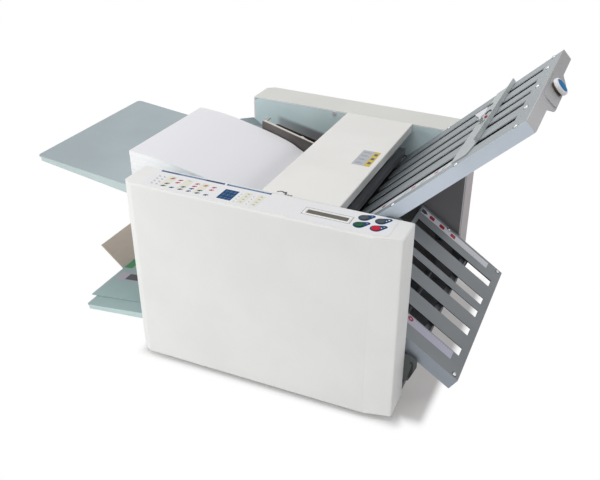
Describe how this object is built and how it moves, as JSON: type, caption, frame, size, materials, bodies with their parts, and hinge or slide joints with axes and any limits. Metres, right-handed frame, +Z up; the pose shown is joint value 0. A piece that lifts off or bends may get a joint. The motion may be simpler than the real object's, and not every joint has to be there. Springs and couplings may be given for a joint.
{
  "type": "paper folding machine",
  "caption": "Desk-top paper folding machine with a sloping feed table, a roller train between two covers, an upper and a lower fold table and an exit tray.",
  "frame": {"origin": "on the desk, under the middle foot", "axes": "+X from the feed table to the fold tables, +Y from the control panel's side to the back, +Z up"},
  "size_m": [0.8877, 0.5142, 0.5426],
  "materials": {
    "base_pan": "satin dark paint",
    "feet": "matt rubber",
    "front_frame": "satin blue-grey paint",
    "rear_frame": "satin blue-grey paint",
    "tie_bars": "zinc plated",
    "front_cover": "fine-grained moulded plastic",
    "panel_overlay": "printed film",
    "display": "moulded bezel",
    "control_board": "laminate",
    "rear_cover": "fine-grained moulded plastic",
    "cover_screws": "zinc plated",
    "hopper_floor": "satin blue-grey paint",
    "feed_table": "satin blue-grey paint",
    "separator": "black moulding",
    "paper_guides": "zinc plated",
    "crossbar": "satin dark paint",
    "roller_bearings": "sintered bush",
    "motor": "black enamel",
    "drive_belts": "matt rubber",
    "power_supply": "zinc plated",
    "power_inlet": "black moulding",
    "exit_tray": "satin blue-grey paint",
    "upper_plate": "satin grey paint",
    "upper_pan": "satin grey paint",
    "upper_end_cap": "moulded end cap",
    "lower_plate": "satin mid-grey paint",
    "lower_pan": "satin mid-grey paint",
    "table_brackets": "black enamel",
    "table_pins": "zinc plated",
    "table_screws": "zinc plated",
    "lid": "fine-grained moulded plastic",
    "paper_stack": "uncoated paper",
    "side_guide_front": "bare sheet metal",
    "side_guide_rear": "bare sheet metal",
    "guide_knob_front": "knurled",
    "guide_knob_rear": "knurled",
    "fold_roller_2": "matt rubber",
    "roller_gear_2": "moulded nylon",
    "drive_pulleys": "zinc plated",
    "fold_roller_1": "matt rubber",
    "roller_gear_1": "moulded nylon",
    "fold_roller_3": "matt rubber",
    "roller_gear_3": "moulded nylon",
    "fold_roller_4": "matt rubber",
    "roller_gear_4": "moulded nylon",
    "feed_roller": "matt rubber",
    "exit_roller": "matt rubber",
    "exit_idler": "moulded nylon",
    "motor_pulley": "zinc plated",
    "upper_stop": "satin grey paint",
    "lead_screw": "zinc plated",
    "adjust_knob": "moulded knob",
    "lower_stop": "satin dark paint",
    "key_grey_1": "moulded key",
    "key_green": "moulded key",
    "key_grey_2": "moulded key",
    "key_red": "moulded key",
    "power_switch": "black moulding",
    "stacker": "satin blue-grey paint"
  },
  "bodies": {
    "machine": {"base_pan": "base_pan", "feet": "feet", "front_frame": "front_frame", "rear_frame": "rear_frame", "tie_bars": "tie_bars", "front_cover": "front_cover", "panel_overlay": "panel_overlay", "display": "display", "control_board": "control_board", "rear_cover": "rear_cover", "cover_screws": "cover_screws", "hopper_floor": "hopper_floor", "feed_table": "feed_table", "separator": "separator", "paper_guides": "paper_guides", "crossbar": "crossbar", "roller_bearings": "roller_bearings", "motor": "motor", "drive_belts": "drive_belts", "power_supply": "power_supply", "power_inlet": "power_inlet", "exit_tray": "exit_tray", "upper_plate": "upper_plate", "upper_pan": "upper_pan", "upper_end_cap": "upper_end_cap", "lower_plate": "lower_plate", "lower_pan": "lower_pan", "table_brackets": "table_brackets", "table_pins": "table_pins", "table_screws": "table_screws"},
    "lid": {"lid": "lid"},
    "paper_stack": {"paper_stack": "paper_stack"},
    "side_guide_front": {"side_guide_front": "side_guide_front"},
    "side_guide_rear": {"side_guide_rear": "side_guide_rear"},
    "guide_knob_front": {"guide_knob_front": "guide_knob_front"},
    "guide_knob_rear": {"guide_knob_rear": "guide_knob_rear"},
    "drive_roller": {"fold_roller_2": "fold_roller_2", "roller_gear_2": "roller_gear_2", "drive_pulleys": "drive_pulleys"},
    "pinch_roller_1": {"fold_roller_1": "fold_roller_1", "roller_gear_1": "roller_gear_1"},
    "pinch_roller_2": {"fold_roller_3": "fold_roller_3", "roller_gear_3": "roller_gear_3"},
    "pinch_roller_3": {"fold_roller_4": "fold_roller_4", "roller_gear_4": "roller_gear_4"},
    "feed_roller": {"feed_roller": "feed_roller"},
    "exit_roller": {"exit_roller": "exit_roller"},
    "exit_idler": {"exit_idler": "exit_idler"},
    "motor_pulley": {"motor_pulley": "motor_pulley"},
    "upper_stop": {"upper_stop": "upper_stop"},
    "adjust_screw": {"lead_screw": "lead_screw", "adjust_knob": "adjust_knob"},
    "lower_stop": {"lower_stop": "lower_stop"},
    "key_grey_1": {"key_grey_1": "key_grey_1"},
    "key_green": {"key_green": "key_green"},
    "key_grey_2": {"key_grey_2": "key_grey_2"},
    "key_red": {"key_red": "key_red"},
    "power_switch": {"power_switch": "power_switch"},
    "stacker": {"stacker": "stacker"}
  },
  "joints": [
    {"name": "lid_hinge", "type": "hinge", "parent": "machine", "child": "lid", "pos_m": [0.108, -0.002, 0.338], "axis": [0, 1, 0], "range_deg": [0, 105]},
    {"name": "stack_load", "type": "slide", "parent": "machine", "child": "paper_stack", "axis": [0.9863, 0, -0.165], "range_m": [-0.2, 0]},
    {"name": "front_guide_slide", "type": "slide", "parent": "machine", "child": "side_guide_front", "axis": [0, 1, 0], "range_m": [-0.018, 0]},
    {"name": "rear_guide_slide", "type": "slide", "parent": "machine", "child": "side_guide_rear", "axis": [0, 1, 0], "range_m": [0, 0.045]},
    {"name": "front_knob_turn", "type": "hinge", "parent": "side_guide_front", "child": "guide_knob_front", "pos_m": [-0.072, -0.158, 0.29156], "axis": [0, 0, 1], "range_deg": [0, 180]},
    {"name": "rear_knob_turn", "type": "hinge", "parent": "side_guide_rear", "child": "guide_knob_rear", "pos_m": [-0.072, 0.082, 0.32156], "axis": [0, 0, 1], "range_deg": [0, 180]},
    {"name": "drive_roller_spin", "type": "hinge", "parent": "machine", "child": "drive_roller", "pos_m": [0.0645, -0.002, 0.2365], "axis": [0, 1, 0], "continuous": true},
    {"name": "pinch_roller_1_spin", "type": "hinge", "parent": "machine", "child": "pinch_roller_1", "pos_m": [0.05825, -0.002, 0.27195], "axis": [0, 1, 0], "continuous": true},
    {"name": "pinch_roller_2_spin", "type": "hinge", "parent": "machine", "child": "pinch_roller_2", "pos_m": [0.10036, -0.002, 0.23964], "axis": [0, 1, 0], "continuous": true},
    {"name": "pinch_roller_3_spin", "type": "hinge", "parent": "machine", "child": "pinch_roller_3", "pos_m": [0.06764, -0.002, 0.20064], "axis": [0, 1, 0], "continuous": true},
    {"name": "feed_roller_spin", "type": "hinge", "parent": "machine", "child": "feed_roller", "pos_m": [-0.008, -0.002, 0.23555], "axis": [0, 1, 0], "continuous": true},
    {"name": "exit_roller_spin", "type": "hinge", "parent": "machine", "child": "exit_roller", "pos_m": [-0.11, -0.002, 0.096], "axis": [0, 1, 0], "continuous": true},
    {"name": "exit_idler_spin", "type": "hinge", "parent": "machine", "child": "exit_idler", "pos_m": [-0.11493, -0.002, 0.06803], "axis": [0, 1, 0], "continuous": true},
    {"name": "motor_pulley_spin", "type": "hinge", "parent": "machine", "child": "motor_pulley", "pos_m": [-0.122, -0.002, 0.188], "axis": [0, 1, 0], "continuous": true},
    {"name": "upper_stop_slide", "type": "slide", "parent": "machine", "child": "upper_stop", "axis": [0.7254, 0, 0.6884], "range_m": [-0.11, 0.07]},
    {"name": "adjust_screw_turn", "type": "hinge", "parent": "machine", "child": "adjust_screw", "pos_m": [0.25108, -0.002, 0.39102], "axis": [0.7254, 0, 0.6884], "range_deg": [-2530, 3970]},
    {"name": "lower_stop_slide", "type": "slide", "parent": "machine", "child": "lower_stop", "axis": [0.8339, 0, -0.5519], "range_m": [-0.084, 0.056]},
    {"name": "key_grey_1_press", "type": "slide", "parent": "machine", "child": "key_grey_1", "axis": [0, 0, 1], "range_m": [-0.0008, 0], "stiffness_N_per_m": 600, "springref_m": 0.0005},
    {"name": "key_green_press", "type": "slide", "parent": "machine", "child": "key_green", "axis": [0, 0, 1], "range_m": [-0.0008, 0], "stiffness_N_per_m": 600, "springref_m": 0.0005},
    {"name": "key_grey_2_press", "type": "slide", "parent": "machine", "child": "key_grey_2", "axis": [0, 0, 1], "range_m": [-0.0008, 0], "stiffness_N_per_m": 600, "springref_m": 0.0005},
    {"name": "key_red_press", "type": "slide", "parent": "machine", "child": "key_red", "axis": [0, 0, 1], "range_m": [-0.0008, 0], "stiffness_N_per_m": 600, "springref_m": 0.0005},
    {"name": "power_switch_tip", "type": "hinge", "parent": "machine", "child": "power_switch", "pos_m": [-0.145, 0.254, 0.06], "axis": [1, 0, 0], "range_deg": [-12, 0]},
    {"name": "stacker_slide", "type": "slide", "parent": "machine", "child": "stacker", "axis": [0.9925, 0, 0.1219], "range_m": [-0.03, 0.12]}
  ],
  "couplings": [
    {"joint": "pinch_roller_1_spin", "follows": "drive_roller_spin", "ratio": -1},
    {"joint": "pinch_roller_2_spin", "follows": "drive_roller_spin", "ratio": -1},
    {"joint": "pinch_roller_3_spin", "follows": "drive_roller_spin", "ratio": -1},
    {"joint": "feed_roller_spin", "follows": "drive_roller_spin", "ratio": 1},
    {"joint": "exit_roller_spin", "follows": "drive_roller_spin", "ratio": 1},
    {"joint": "exit_idler_spin", "follows": "drive_roller_spin", "ratio": -1.3333},
    {"joint": "motor_pulley_spin", "follows": "drive_roller_spin", "ratio": 2},
    {"joint": "adjust_screw_turn", "follows": "upper_stop_slide", "rad_per_m": -628.32}
  ]
}
